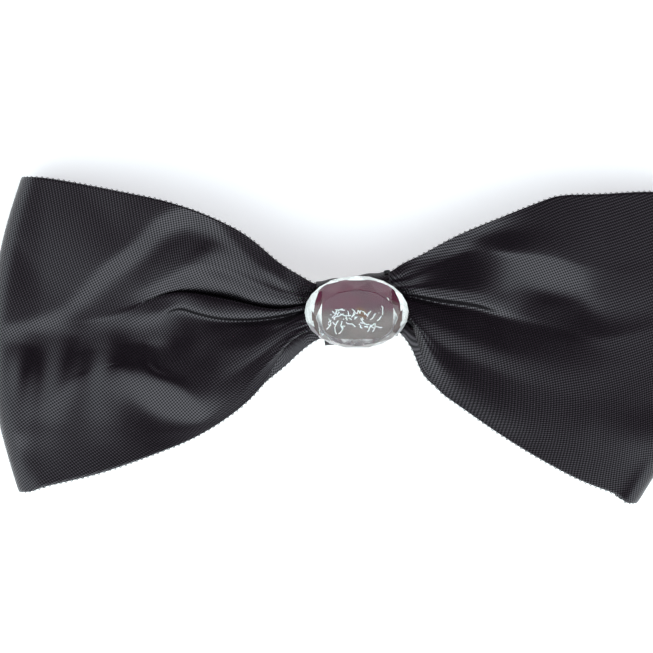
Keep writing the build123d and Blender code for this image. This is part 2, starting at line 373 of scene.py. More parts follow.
@dataclass(frozen=True)
class ThreadFinish:
    """Black spun polyester sewing thread: matt, with a fine twist that just shows."""

    name: str = "black_sewing_thread"
    shade: str = "141316"
    ply_gap_painted_shade: str = "0A090B"  # painted shade between the plies
    twist_scale: float = 1000 / 7  # of the wave texture

    def material(self) -> bpy.types.Material:
        """Build the thread; the twist is a fine slanting relief, with painted shade between the plies."""
        material, tree, where = new_finish(self.name)
        bands = {"wave_type": "BANDS", "bands_direction": "DIAGONAL"}
        pace = {"Scale": self.twist_scale, "Distortion": 0.4}
        ply = add_node(tree, "ShaderNodeTexWave", bands, Vector=where, **pace).outputs["Fac"]
        wire(
            tree,
            tree.nodes["Principled BSDF"],
            Base_Color=mixed(tree, ply, linear(self.ply_gap_painted_shade), linear(self.shade)),
            Roughness=0.75,
            Normal=bumped(tree, ply, 0.5, 0.05),
            Sheen_Weight=0.3,
        )
        return material


@dataclass(frozen=True)
class AcrylicFinish:
    """Clear moulded acrylic: polished facets, faint flow lines inside and light handling marks."""

    name: str = "clear_moulded_acrylic"
    ior: float = 1.49

    def material(self) -> bpy.types.Material:
        """Build the stone's material; lamps reach through it, so what lies behind it is lit."""
        material, tree, where = new_finish(self.name)
        flow = speckle(tree, where, 260.0, 2.0)
        marks = speckle(tree, where, 1400.0, 6.0)
        clear = tree.nodes["Principled BSDF"]
        wire(
            tree,
            clear,
            Base_Color=linear("FBFCFD"),
            Roughness=spread(tree, marks, (0.5, 0.85), (0.0, 0.03)),
            Normal=bumped(tree, flow, 0.03, 0.2),
            IOR=self.ior,
            Specular_IOR_Level=0.25,
            Transmission_Weight=1.0,
        )
        through = add_node(tree, "ShaderNodeBsdfTransparent", Color=linear("F4F5F6"))
        path = add_node(tree, "ShaderNodeLightPath")
        finish_surface(tree, path.outputs["Is Shadow Ray"], clear, through)
        return material


class GlueFinish(Enum):
    """Hot-melt glue: waxy and cloudy; behind the stone it carries the dye it took up from the ribbon."""

    BEHIND_STONE = ("dyed_hot_melt", "5E2A3C", "827470", 0.35, 0.02)
    STRANDS = ("clouded_glue_strings", "F2F1EF", "FFFFFF", 0.25, 0.4)
    BEAD = ("hot_melt_bead", "CFC6B4", "E4DDCE", 0.4, 0.4)

    def material(self) -> bpy.types.Material:
        """Build the glue; the dyed one goes from maroon at its upper edge to grey-brown below."""
        name, upper, lower, rough, gloss = self.value
        material, tree, where = new_finish(name)
        cloud = speckle(tree, where, 520.0, 5.0, 0.65)
        axes = add_node(tree, "ShaderNodeSeparateXYZ", Vector=where)
        wavy = math_node(tree, "MULTIPLY_ADD", cloud, 1.6 * MM, axes.outputs["Y"])
        shade = mixed(tree, spread(tree, wavy, (5.2 * MM, 7.0 * MM)), linear(lower), linear(upper))
        if self is GlueFinish.BEHIND_STONE:
            shade = self.clear_spot(tree, where, shade)
        mottle = spread(tree, cloud, (0.3, 0.75), (0.6, 1.15))
        wire(
            tree,
            tree.nodes["Principled BSDF"],
            Base_Color=mixed(tree, 1.0, shade, mottle, "MULTIPLY"),
            Roughness=rough,
            Normal=bumped(tree, cloud, 0.3, 0.2),
            Specular_IOR_Level=gloss,
            Subsurface_Weight=0.3,
            Subsurface_Scale=0.6 * MM,
        )
        return material

    @staticmethod
    def clear_spot(
        tree: bpy.types.NodeTree, where: bpy.types.NodeSocket, shade: bpy.types.NodeSocket
    ) -> bpy.types.NodeSocket:
        """Add the slanting oval near the stone's middle where the brown band shows through the glue."""
        oval = add_node(
            tree,
            "ShaderNodeMapping",
            {"vector_type": "TEXTURE"},
            Vector=where,
            Location=(1.4 * MM, 5.2 * MM, 15.4 * MM),
            Rotation=(0, 0, math.radians(-40)),
            Scale=(1.3 * MM, 0.7 * MM, 10 * MM),
        )
        reach = add_node(tree, "ShaderNodeVectorMath", {"operation": "LENGTH"}, in_0=oval.outputs[0])
        inside = spread(tree, reach.outputs["Value"], (0.85, 1.15), (1.0, 0.0))
        return mixed(tree, inside, shade, linear("7A5238"))


class MetalFinish(Enum):
    """Steels of the clip, plate, turned pin and bare wire, and the silvering on the stone's back."""

    NICKEL_PLATE = ("nickel_plated_strip", "C9C6BF", 0.24, 900.0, 60.0)
    TURNED_PIN = ("turned_steel_pin", "B5B3AE", 0.34, 2200.0, 2200.0)
    SPRING_WIRE = ("drawn_spring_wire", "8E8B86", 0.3, 1500.0, 400.0)
    STONE_BACK = ("silvered_stone_back", "CBC8C5", 0.2, 600.0, 500.0)

    def material(self) -> bpy.types.Material:
        """Build the metal; fine draw lines and small scuffs vary its gloss and relief."""
        name, shade, rough, grain, grain_along = self.value
        material, tree, where = new_finish(name)
        stretch = add_node(tree, "ShaderNodeMapping", Vector=where, Scale=(grain_along / grain, 1.0, 1.0))
        lines = speckle(tree, stretch.outputs[0], grain, 4.0)
        scuffs = speckle(tree, where, 240.0, 6.0, 0.7)
        dull = spread(tree, scuffs, (0.4, 0.8), (1.0, 0.78))
        wire(
            tree,
            tree.nodes["Principled BSDF"],
            Base_Color=mixed(tree, 1.0, linear(shade), dull, "MULTIPLY"),
            Roughness=spread(tree, scuffs, (0.35, 0.75), (rough - 0.08, rough + 0.18)),
            Normal=bumped(tree, lines, 0.12, 0.03),
            Metallic=1.0,
        )
        return material


# ------------------------------------------------------------------ the ribbon's shape
@dataclass(frozen=True)
class Guide:
    """A line drawn along the ribbon, from the waist to the folded end of a wing."""

    place: float  # how far across the ribbon it runs, 0 at the upper edge and 1 at the lower
    route: tuple[Spot, ...]  # plan position and lift above the wing's own height


@dataclass(frozen=True)
class Fold:
    """A soft ridge, or a hollow where rise is negative, along a smooth line on a wing."""

    line: tuple[Point, ...]
    rise: tuple[float, ...]
    upper: float  # reach on its upper side
    lower: float  # reach on its lower side
    crest: float = 0.4  # distance over which the two sides blend

    def height(self, x: np.ndarray, y: np.ndarray) -> np.ndarray:
        """Height the fold adds at plan positions.

        Args:
            x: Distance along the bow.
            y: Distance across it.

        Returns:
            Heights in millimetres, of the same shape.
        """
        route = smooth_line(np.column_stack([np.array(self.line), self.rise]), 60)
        tangent = np.gradient(route[:, :2], axis=0)
        tangent *= np.sign(tangent[:, :1] + 1e-9)
        tangent /= np.linalg.norm(tangent, axis=1)[:, None]
        gap_x, gap_y = x[..., None] - route[:, 0], y[..., None] - route[:, 1]
        nearest = np.argmin(gap_x**2 + gap_y**2, axis=-1)[..., None]
        gap_x = np.take_along_axis(gap_x, nearest, -1)[..., 0]
        gap_y = np.take_along_axis(gap_y, nearest, -1)[..., 0]
        tangent, rise = tangent[nearest[..., 0]], route[nearest[..., 0], 2]
        side = tangent[..., 0] * gap_y - tangent[..., 1] * gap_x
        share = 1 / (1 + np.exp(-side / self.crest))
        reach = self.lower + (self.upper - self.lower) * share
        return rise * np.exp(-(gap_x**2 + gap_y**2) / reach**2)


@dataclass(frozen=True)
class Layer:
    """One layer of a wing: its guide lines, its height along the bow and its soft folds."""

    guides: tuple[Guide, ...]
    profile: tuple[Point, ...]  # distance from the middle, height
    folds: tuple[Fold, ...]
    pleats: float = 15.5  # gathered pleats across the waist
    pleat_depth: float = 0.8  # half their height, at the waist
    pleat_reach: tuple[float, float] = (5.5, 9.5)  # full up to here, gone beyond
    plain_edge: float = 0.2  # share of the width beside the lower edge that has no pleats
    plain_top: float = 0.1  # and beside the upper edge
    plain_fade: float = 0.08  # share over which the pleats come in
    fold_start: float = 7.0  # the folds come in from here on
    fold_fade: float = 5.0  # and have their full height so much further out

    def surface(self, end: "FoldedEnd", sign: int, rows: int, columns: int) -> np.ndarray:
        """Points of the layer from the waist to where the end's bend begins.

        Args:
            end: The wing's folded end.
            sign: -1 for the left wing, 1 for the right.
            rows: Points across the ribbon.
            columns: Points along it.

        Returns:
            Array of shape (rows, columns, 3), in millimetres.
        """
        lines = []
        for guide in self.guides:
            tip = np.array([*end.start(np.array(guide.place), sign), 0.0])
            lines.append(smooth_line(np.vstack([guide.route, tip]), columns))
        knots = np.array([guide.place for guide in self.guides])
        weights = across_weights(knots, np.linspace(0, 1, rows))
        grid = np.einsum("rg,gcx->rcx", weights, np.array(lines))
        x, y = grid[..., 0], grid[..., 1]
        reach, high = np.array(self.profile).T
        grid[..., 2] += np.interp(sign * x, reach, high)
        fade = np.clip((sign * x - self.fold_start) / self.fold_fade, 0, 1)
        for fold in self.folds:
            grid[..., 2] += fade * fold.height(x, y)
        full, gone = self.pleat_reach
        held = np.clip((gone - sign * x) / (gone - full), 0, 1) ** 2
        place = np.linspace(0, 1, rows)[:, None]
        pleated = np.clip((1 - self.plain_edge - place) / self.plain_fade, 0, 1)
        pleated = pleated * np.clip((place - self.plain_top) / self.plain_fade, 0, 1)
        grid[..., 2] += self.pleat_depth * pleated * held * np.cos(math.tau * self.pleats * place)
        return grid


@dataclass(frozen=True)
class FoldedEnd:
    """The outer end of a wing, where the ribbon turns back on itself."""

    upper: Point
    lower: Point
    bulge: float
    bend: float = 3.2  # how deep the turn is

    def start(self, place: np.ndarray, sign: int) -> tuple[np.ndarray, np.ndarray]:
        """Where the bend begins, at a place across the ribbon."""
        x = self.upper[0] + (self.lower[0] - self.upper[0]) * place
        x = x + sign * (self.bulge * 4 * place * (1 - place) - self.bend)
        return x, self.upper[1] + (self.lower[1] - self.upper[1]) * place

    def turn(self, front: np.ndarray, rear: np.ndarray, sign: int, columns: int) -> np.ndarray:
        """Points of the bend between the ends of the front and rear layers.

        Args:
            front: The front layer's last column, of shape (rows, 3).
            rear: The rear layer's last column.
            sign: -1 for the left wing, 1 for the right.
            columns: Points round the bend, without its two ends.

        Returns:
            Array of shape (rows, columns, 3).
        """
        angle = np.linspace(0, math.pi, columns + 2)[1:-1]
        mix = (1 - np.cos(angle)) / 2
        grid = front[:, None] * (1 - mix)[:, None] + rear[:, None] * mix[:, None]
        grid[..., 0] += sign * self.bend * np.sin(angle)
        return grid


@dataclass(frozen=True)
class Wing:
    """One loop of the bow: a front and a rear layer that meet at the folded end."""

    sign: int
    front: Layer
    rear: Layer
    end: FoldedEnd
    columns: int = 78
    bend_columns: int = 13

    def loop(self, rows: int) -> np.ndarray:
        """The whole loop from the front of the waist round to the back of it."""
        front = self.front.surface(self.end, self.sign, rows, self.columns)
        rear = self.rear.surface(self.end, self.sign, rows, self.columns)
        bend = self.end.turn(front[:, -1], rear[:, -1], self.sign, self.bend_columns)
        return np.concatenate([front, bend, rear[:, ::-1]], axis=1)


# distance from the middle, height
FRONT_HEIGHT = ((0, 12.6), (7, 12.6), (12, 13.4), (19, 13.5), (26, 13.1), (40, 11.2), (55, 8.8), (70, 7.6))
REAR_HEIGHT = (
    (0, 10.2), (8, 10.0), (16, 9.5), (24, 9.0), (29, 6.9), (34, 3.0), (40, 0.7), (46, 0.4), (70, 0.4)
)


def rear_layer(guides: tuple[Guide, ...], folds: tuple[Fold, ...]) -> Layer:
    """Make a rear layer, whose pleats are deeper than a front layer's and reach further out."""
    plain = {"plain_edge": 0.3, "plain_top": 0.0}
    return Layer(guides, REAR_HEIGHT, folds, pleat_depth=1.25, pleat_reach=(9.0, 20.0), **plain)


LEFT_FRONT = Layer(
    guides=(
        Guide(0.0, ((-6.4, 9.5, 0), (-9.4, 11.3, 0), (-12.9, 13.4, 0.1), (-19.9, 19, 0.2),
            (-30.4, 23.5, 0.2), (-40.9, 26, 0), (-51.4, 28.1, 0))),
        Guide(0.12, ((-6.4, 8.8, 0), (-12.9, 11.1, 0.1), (-19.9, 15.5, 0), (-30.4, 19, 0), (-40.9, 19.7, 0),
            (-51.4, 20.7, 0))),
        Guide(0.24, ((-6.4, 8.1, -0.1), (-12.9, 9.2, 0), (-19.9, 12.3, -0.1), (-26.9, 14.4, 0),
            (-35.7, 14.8, 0), (-46.2, 13.7, 0))),
        Guide(0.34, ((-6.4, 7.4, 0), (-11.2, 7.6, 0), (-17.3, 9.5, -0.1), (-22.6, 12, -0.2),
            (-27.8, 12.3, -0.1), (-33.9, 10.6, 0), (-42.7, 8.5, 0))),
        Guide(0.395, ((-6.4, 6.7, -0.2), (-12.2, 6.2, -0.4), (-17.8, 7.1, -0.6), (-21.3, 8.8, -0.7),
            (-26.9, 10.4, -0.7), (-31.3, 9.7, -0.6), (-35.7, 8.3, -0.3), (-42.7, 6.4, 0))),
        Guide(0.425, ((-6.4, 6.4, -1.2), (-12.2, 5, -1.9), (-17.8, 5.2, -2.3), (-22.6, 6.4, -2.6),
            (-26.9, 7.1, -2.4), (-31.3, 7.3, -1.5), (-35.7, 6.9, -0.6), (-42.7, 5.3, 0))),
        Guide(0.455, ((-6.4, 6.4, 0.2), (-9.1, 6, 0), (-12.2, 5.5, -0.2), (-15.6, 5.7, -0.3),
            (-21, 7.1, -0.5), (-24.3, 7.8, -0.7), (-29.7, 8.6, -0.6), (-33.9, 7.8, -0.3),
            (-42.7, 4.3, 0))),
        Guide(0.51, ((-6.4, 5.9, 0.1), (-12.2, 4.6, -0.2), (-15.6, 4.1, -0.4), (-18.9, 3.9, -0.5),
            (-23.8, 4.1, -0.6), (-27.8, 5, -0.7), (-30.4, 5.9, -0.7), (-35.7, 4.6, -0.3))),
        Guide(0.54, ((-6.4, 5.5, -0.3), (-9.1, 5.1, -0.9), (-12.2, 4.2, -1.3), (-15.6, 3.7, -1.6),
            (-18.9, 3.5, -1.9), (-23.3, 3.7, -2.2), (-26.9, 4.5, -2.3), (-29.9, 5.2, -1.9),
            (-32.5, 4.8, -1.1), (-35.7, 2.9, -0.7))),
        Guide(0.575, ((-6.4, 5.2, 0.1), (-9.1, 4.5, -0.3), (-12.2, 3.1, -0.6), (-15.6, 2.2, -0.8),
            (-18.9, 1.8, -1), (-23.3, 1.3, -1.5), (-27.6, 1.1, -2), (-31.3, 1.1, -1.7),
            (-35.7, 0.4, -0.9))),
        Guide(0.62, ((-6.4, 4.5, 0.2), (-11.2, 3.1, -0.1), (-17.3, -0.3, -0.3), (-22.6, -1, -0.6),
            (-28.7, -1.7, -1.3), (-34.5, -1.5, -1.2), (-39.2, -1.3, -0.6))),
        Guide(0.68, ((-6.4, 3.8, 0.2), (-11.2, 2.2, 0), (-17.3, -2, -0.3), (-23.1, -4.1, -0.4),
            (-28.7, -5.2, -0.3), (-34.5, -4.6, -0.7), (-39.2, -3.2, -0.2))),
        Guide(0.75, ((-6.4, 3.1, 0.1), (-10.8, 1.3, 0), (-16.1, -2.7, -0.4), (-22, -6.9, -0.5),
            (-26.9, -9.7, 0), (-30.4, -8.3, 0.3), (-34.3, -6.9, 0.3), (-38.5, -5.9, 0.2),
            (-44.4, -5.5, 0.1))),
        Guide(0.83, ((-6.4, 2.5, 0), (-10.5, 1, 0.2), (-15, -3.4, 0), (-20.6, -9, -0.3), (-25.7, -13.4, -1),
            (-30.8, -13.6, -1.5), (-35.3, -12.5, -1.4), (-39.9, -10.8, -0.7), (-45.8, -10.4, -0.1))),
        Guide(0.91, ((-6.4, 2.5, -0.1), (-10.3, 0.6, 0.1), (-14.9, -4.1, 0), (-20.3, -10.2, -0.2),
            (-25.9, -15, -0.9), (-33.1, -16.7, -1.3), (-40.9, -17.4, -0.4), (-49.7, -18.5, 0.1))),
        Guide(1.0, ((-6.4, 4.8, -0.6), (-8.9, 3.9, -0.6), (-10.7, 1.5, -0.6), (-12.2, -1.3, -0.5),
            (-13.8, -4.1, -0.3), (-15.6, -7.4, -0.2), (-19.9, -11.8, -0.2), (-26.9, -16.4, -0.7),
            (-33.9, -19.5, -0.9), (-44.4, -23.2, 0.1), (-54.9, -25.8, 0.5))),
    ),
    profile=FRONT_HEIGHT,
    folds=(
        # the rim of the arch: the upper panel drops inside it
        Fold(((-16.1, 13.7), (-19.9, 17.6), (-24.3, 21.6), (-29, 23.5), (-34.5, 21.6), (-39.2, 17.1),
            (-44.4, 13.2), (-51.4, 6.6), (-58.4, 3.9), (-65.5, 2.9)),
            (0.6, 1, 1.5, 1.7, 1.9, 1.9, 1.9, 1.3, 1.1, 0.9), 11, 2.6),
        # the crest of the cloth before it dips into the upper crease
        Fold(((-35.7, 9.9), (-29, 13.6), (-24.5, 15.8), (-19.9, 13.7), (-14.7, 9.5), (-9.4, 7.3)),
            (0.3, 1, 0.9, 0.6, 0.4, 0.2), 3.0, 2.8),
        # a small bump where the lower fold dies away
        Fold(((-33.1, 4.8), (-35.7, 4.5), (-38.3, 3.6)), (0.2, 0.3, 0.1), 1.6, 1.6),
        # upright ridges near the folded end
        Fold(((-42, -1.7), (-42.7, -6.9), (-44.1, -14.6)), (0.6, 1.2, 0.2), 2.6, 2.6),
        Fold(((-49.3, 1), (-51.1, -6), (-53.5, -14.8)), (0.6, 1.6, 0.3), 3.6, 2.8),
        Fold(((-57, -0.8), (-58.1, -6.9), (-59.5, -15.7)), (0.5, 1.9, 1.1), 2.8, 2.6),
    ),
)

RIGHT_FRONT = Layer(
    guides=(
        Guide(0.0, ((6.6, 11.8, -0.4), (8, 13.2, -0.8), (11.5, 14.8, -1), (15, 16.7, -0.9),
            (18.5, 18.5, -0.7), (25.5, 21.4, -0.1), (32.5, 24.2, 0), (36, 25.3, 0), (43, 25.6, 0),
            (52.1, 26.1, 0))),
        Guide(0.13, ((6.6, 10.9, -0.5), (13.3, 14.3, -1.3), (22, 17.9, -0.8), (31.7, 19.3, 0.1),
            (44.8, 18.3, 0))),
        Guide(0.19, ((6.6, 10.4, -0.6), (10.1, 11.5, -1.1), (15, 13.7, -1.4), (19.6, 15.5, -1.3),
            (23.4, 16, -0.4), (27.3, 15.7, 0.3), (34.3, 15.3, 0.3), (44.8, 13.7, 0))),
        Guide(0.245, ((6.6, 9.9, -0.4), (10.1, 10.6, -0.9), (15, 12.7, -1.1), (19.6, 14.1, -1),
            (23.4, 14.4, -0.4), (27.3, 14.1, -0.1), (34.3, 13.6, -0.1), (44.8, 11.6, 0))),
        Guide(0.31, ((6.6, 9.2, 0.2), (10.1, 9.4, 0.2), (15.4, 9.5, 0.2), (21.2, 9, 0.1), (25.2, 8.8, -0.6),
            (29, 9.5, -1.5), (33.4, 8.8, -1.9), (39.2, 8.1, -1.3), (44.8, 7.6, -0.2))),
        Guide(0.345, ((6.6, 8.8, 0.1), (10.1, 8.7, 0.15), (15.4, 8.1, 0.1), (21.2, 7.4, -0.05),
            (26.4, 6.9, -0.8), (30.8, 6.4, -1.5), (38.7, 5.7, -1.4), (46.5, 3.9, -0.4))),
        Guide(0.385, ((6.6, 8.5, 0), (10.1, 8.1, -0.1), (15, 7.3, -0.2), (21.2, 6.4, -0.4),
            (27.3, 4.8, -1.2), (36, 2.9, -1.3), (44.8, 0.8, -0.3))),
        Guide(0.41, ((6.6, 8.2, -0.7), (10.1, 7.7, -1.1), (15, 6.7, -1.5), (21.2, 5.8, -1.7),
            (27.3, 3.8, -1.5), (36, 1.8, -1.2), (44.8, 0.1, -0.3))),
        Guide(0.46, ((6.6, 7.3, -0.1), (10.7, 6.4, -0.5), (15.9, 4.8, -0.9), (22, 2.9, -1.1),
            (29, 0.8, -0.9), (37.8, -0.6, -0.7), (46.5, -2, -0.3))),
        Guide(0.53, ((6.6, 6.6, 0.1), (10.7, 5, -0.1), (15.9, 2.2, -0.2), (22, -0.4, -0.3),
            (29, -2.9, -0.2), (36, -4.5, -0.3), (46.5, -5.9, -0.3))),
        Guide(0.62, ((6.7, 6, 0.3), (10.7, 3.2, 0.1), (15.4, -1, -0.4), (22.4, -4.5, -0.5),
            (30.8, -8, -0.3), (43, -10.8, -0.3))),
        Guide(0.8, ((7, 5.7, 0.2), (10.5, 3.2, 0.4), (14.3, -3.4, 0.1), (21.2, -9.4, 0), (30.8, -14.6, 0),
            (43, -18.5, -0.2))),
        Guide(1.0, ((7.3, 5, -0.4), (9.3, 4.6, -0.6), (10.3, 2.5, -0.7), (11.2, -0.3, -0.8),
            (12.1, -3.1, -0.8), (13.1, -5.9, -0.7), (14.7, -8.7, -0.5), (18.5, -11.5, -0.2),
            (25.5, -16.4, -0.2), (32.5, -20.7, 0), (39.5, -24.4, -0.2), (46.5, -27.2, -0.4))),
    ),
    profile=FRONT_HEIGHT,
    folds=(
        # a faint swell beside the folded end
        Fold(((43, -14.8), (50, -16.7), (57, -17.4)), (0.2, 0.5, 0.5), 4.0, 4.0),
    ),
    plain_top=0.3,
)

LEFT_REAR = rear_layer(
    guides=(
        Guide(0.0, ((-6.4, 9.3, 0), (-13, 12.8, 0), (-20, 18.2, 0), (-30.5, 22.7, 0), (-41, 25.4, 0),
            (-51.5, 27.6, 0))),
        Guide(0.25, ((-6.4, 7.0, 0.4), (-13, 8.6, 0.5), (-24, 11.5, 0.3), (-40, 13.0, 0))),
        Guide(0.5, ((-6.4, 4.8, 0), (-13, 4.0, 0.4), (-24, 2.4, 0.1), (-40, 1.2, 0))),
        Guide(0.75, ((-6.4, 2.2, 0.4), (-13, -1.6, 0.5), (-24, -6.5, 0.3), (-40, -11, 0))),
        Guide(1.0, ((-6.4, 0.4, 0), (-9.5, -2.0, 0), (-13, -5.2, 0), (-23.5, -13.4, 0), (-30.5, -17.1, 0),
            (-41, -21.4, 0), (-51.5, -24.6, 0))),
    ),
    folds=(
        Fold(((-10, 7.6), (-22, 12), (-36, 15)), (0.4, 1.2, 0.5), 2.2, 2.2),
        Fold(((-10, 4.2), (-24, 3.2), (-40, 2)), (0.3, 1.0, 0.4), 2.4, 2.4),
        Fold(((-10, -0.4), (-22, -7), (-36, -12)), (0.4, 1.2, 0.5), 2.2, 2.2),
    ),
)

RIGHT_REAR = rear_layer(
    guides=(
        Guide(0.0, ((6.6, 11.3, 0), (11.6, 14.2, 0), (18.6, 17.8, 0), (25.6, 20.7, 0), (36.1, 24.4, 0),
            (52.3, 25.3, 0))),
        Guide(0.25, ((6.6, 9.2, 0.4), (13, 10.6, 0.5), (24, 12.5, 0.3), (40, 12.4, 0))),
        Guide(0.5, ((6.6, 7.0, 0), (13, 5.0, 0.4), (24, 2.2, 0.1), (40, -1.0, 0))),
        Guide(0.75, ((6.6, 4.6, 0.4), (12, -0.2, 0.5), (23, -7, 0.3), (38, -13.8, 0))),
        Guide(1.0, ((6.6, 2.6, 0), (8.6, 0.9, 0), (10.3, -1.6, 0), (11.5, -4.8, 0), (13.2, -7.2, 0),
            (18.8, -11.2, 0), (32.6, -20.2, 0), (46.0, -26.7, 0))),
    ),
    folds=(
        Fold(((10, 9.6), (22, 13), (36, 15)), (0.4, 1.2, 0.5), 2.2, 2.2),
        Fold(((10, 5.4), (24, 2.2), (40, -1)), (0.3, 1.0, 0.4), 2.4, 2.4),
        Fold(((10, 1.6), (20, -7), (34, -13)), (0.4, 1.2, 0.5), 2.2, 2.2),
    ),
)


# ------------------------------------------------------------------ pieces grown by node trees
def node_group(
    name: str, floats: tuple[str, ...], **others: str
) -> tuple[bpy.types.NodeTree, bpy.types.bpy_prop_collection]:
    """Start a geometry node tree with named inputs, a material among them, and one geometry output.

    Args:
        name: Name of the tree.
        floats: Names of its plain number inputs.
        **others: Kind of each other input, by its name.

    Returns:
        The tree and the sockets that give its inputs.
    """
    tree = bpy.data.node_groups.new(name, "GeometryNodeTree")
    tree.interface.new_socket(name="Geometry", in_out="OUTPUT", socket_type="NodeSocketGeometry")
    for label, kind in (others | dict.fromkeys(floats, "Float") | {"Material": "Material"}).items():
        tree.interface.new_socket(name=label, in_out="INPUT", socket_type="NodeSocket" + kind)
    return tree, tree.nodes.new("NodeGroupInput").outputs


def finish_group(
    tree: bpy.types.NodeTree, made: bpy.types.NodeSocket, material: bpy.types.NodeSocket
) -> None:
    """End a tree in Realize Instances, Set Material and the group output."""
    real = add_node(tree, "GeometryNodeRealizeInstances", Geometry=made)
    dressed = add_node(tree, "GeometryNodeSetMaterial", Geometry=real.outputs[0], Material=material)
    add_node(tree, "NodeGroupOutput", in_0=dressed.outputs[0])


def tube(
    tree: bpy.types.NodeTree, curve: bpy.types.NodeSocket, sides: int, radius: object, caps: bool = True
) -> bpy.types.NodeSocket:
    """Give a curve the thickness of a thread."""
    ring = add_node(tree, "GeometryNodeCurvePrimitiveCircle", Resolution=sides, Radius=radius).outputs[0]
    made = add_node(tree, "GeometryNodeCurveToMesh", Curve=curve, Profile_Curve=ring, Fill_Caps=caps)
    return made.outputs[0]


def straight_line(tree: bpy.types.NodeTree, count: int) -> bpy.types.NodeSocket:
    """Make a line one metre long, of so many points."""
    line = add_node(tree, "GeometryNodeCurvePrimitiveLine", End=(1, 0, 0))
    return add_node(tree, "GeometryNodeResampleCurve", Curve=line.outputs[0], Count=count).outputs[0]


def set_on(
    tree: bpy.types.NodeTree, points: bpy.types.NodeSocket, thing: bpy.types.NodeSocket, **inputs: object
) -> bpy.types.NodeSocket:
    """Set a copy of a thing on every point, with its rotation or scale."""
    kind = "GeometryNodeInstanceOnPoints"
    return add_node(tree, kind, Points=points, Instance=thing, **inputs).outputs[0]


def grown(
    name: str, tree: bpy.types.NodeTree, values: dict[str, object], base: bpy.types.Mesh
) -> bpy.types.Object:
    """Run a node tree on a base mesh and keep the result as a plain mesh.

    Args:
        name: Name of the piece.
        tree: The geometry node tree.
        values: Its inputs by name; a missing one keeps the tree's own value.
        base: Mesh that the tree starts from, which may be empty.

    Returns:
        An object with the finished, smoothly shaded mesh and no modifier.
    """
    seed = make_object(name + "_seed", base)
    modifier = seed.modifiers.new("grow", "NODES")
    modifier.node_group = tree
    for item in tree.interface.items_tree:
        if item.in_out == "INPUT" and item.name in values:
            modifier[item.identifier] = values[item.name]
    bpy.context.view_layer.update()
    shape = bpy.data.meshes.new_from_object(seed.evaluated_get(bpy.context.evaluated_depsgraph_get()))
    bpy.data.objects.remove(seed)
    shape.name = name
    shape.shade_smooth()
    return make_object(name, shape)


def give_wall(cloth: bpy.types.Object, thickness: float) -> None:
    """Give a cloth its thickness, in millimetres, half of it on each side."""
    wall = cloth.modifiers.new("wall", "SOLIDIFY")
    wall.thickness = thickness * MM
    wall.offset = 0


@dataclass(frozen=True)
class Knot:
    """Where the waist stands: its middle, its turn in plan and the heights of what is wound round it."""

    middle: Point = (0.5, 5.6)
    turn: float = math.radians(8.0)
    half_width: float = 4.9  # of the gathered waist, across the bow
    low: float = 9.2
    high: float = 13.4

    def place(self, points: np.ndarray) -> np.ndarray:
        """Turn and move points from the knot's own axes, along, across and up, to the bow's.

        Args:
            points: Array whose last axis holds along, across and height.

        Returns:
            The same array in the bow's frame, in millimetres.
        """
        cos, sin = math.cos(self.turn), math.sin(self.turn)
        x = self.middle[0] + cos * points[..., 0] - sin * points[..., 1]
        y = self.middle[1] + sin * points[..., 0] + cos * points[..., 1]
        return np.stack([x, y, points[..., 2]], axis=-1)


@dataclass
class GatherThread:
    """Black sewing thread wound round the waist, which holds the gathers."""

    knot: Knot = Knot()
    turns: int = 6
    pitch: float = 0.36
    diameter: float = 0.4
    squareness: float = 0.55  # 1 winds an ellipse, less a rounder rectangle
    turn_steps: int = 40  # of each turn

    def tree(self) -> bpy.types.NodeTree:
        """Build the winding: a line wrapped round the waist, then given the thread's thickness."""
        floats = ("Turns", "Pitch", "Half Width", "Half Height", "Squareness", "Thread Radius")
        tree, give = node_group("thread_winding", floats, Turn="Vector", Place="Vector")
        fine = straight_line(tree, self.turns * self.turn_steps + 1)
        share = add_node(tree, "GeometryNodeSplineParameter").outputs["Factor"]
        wound = math_node(tree, "MULTIPLY", share, give["Turns"])
        angle = math_node(tree, "MULTIPLY", wound, math.tau)
        middle = math_node(tree, "MULTIPLY", math_node(tree, "SUBTRACT", share, 0.5), give["Turns"])
        run = math_node(tree, "MULTIPLY", middle, give["Pitch"])
        sides = []
        for wave, half in (("COSINE", "Half Width"), ("SINE", "Half Height")):
            swing = math_node(tree, wave, angle)
            size = math_node(tree, "POWER", math_node(tree, "ABSOLUTE", swing), give["Squareness"])
            signed = math_node(tree, "MULTIPLY", size, math_node(tree, "SIGN", swing))
            sides.append(math_node(tree, "MULTIPLY", signed, give[half]))
        spot = add_node(tree, "ShaderNodeCombineXYZ", X=run, Y=sides[0], Z=sides[1])
        wrapped = add_node(tree, "GeometryNodeSetPosition", Geometry=fine, Position=spot.outputs[0])
        thread = tube(tree, wrapped.outputs[0], 8, give["Thread Radius"])
        seat = {"Translation": give["Place"], "Rotation": give["Turn"]}
        set_down = add_node(tree, "GeometryNodeTransform", Geometry=thread, **seat)
        finish_group(tree, set_down.outputs[0], give["Material"])
        return tree

    def build(self) -> bpy.types.Object:
        knot, radius = self.knot, self.diameter / 2
        values = {
            "Turns": float(self.turns),
            "Pitch": self.pitch * MM,
            "Half Width": (knot.half_width + radius) * MM,
            "Half Height": ((knot.high - knot.low) / 2 + radius) * MM,
            "Squareness": self.squareness,
            "Thread Radius": radius * MM,
            "Turn": (0.0, 0.0, knot.turn),
            "Place": (knot.middle[0] * MM, knot.middle[1] * MM, (knot.low + knot.high) / 2 * MM),
            "Material": ThreadFinish().material(),
        }
        thread = grown("gather_thread_winding", self.tree(), values, bpy.data.meshes.new("thread_seed"))
        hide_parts("gather_thread")
        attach(thread, "bow")
        return thread


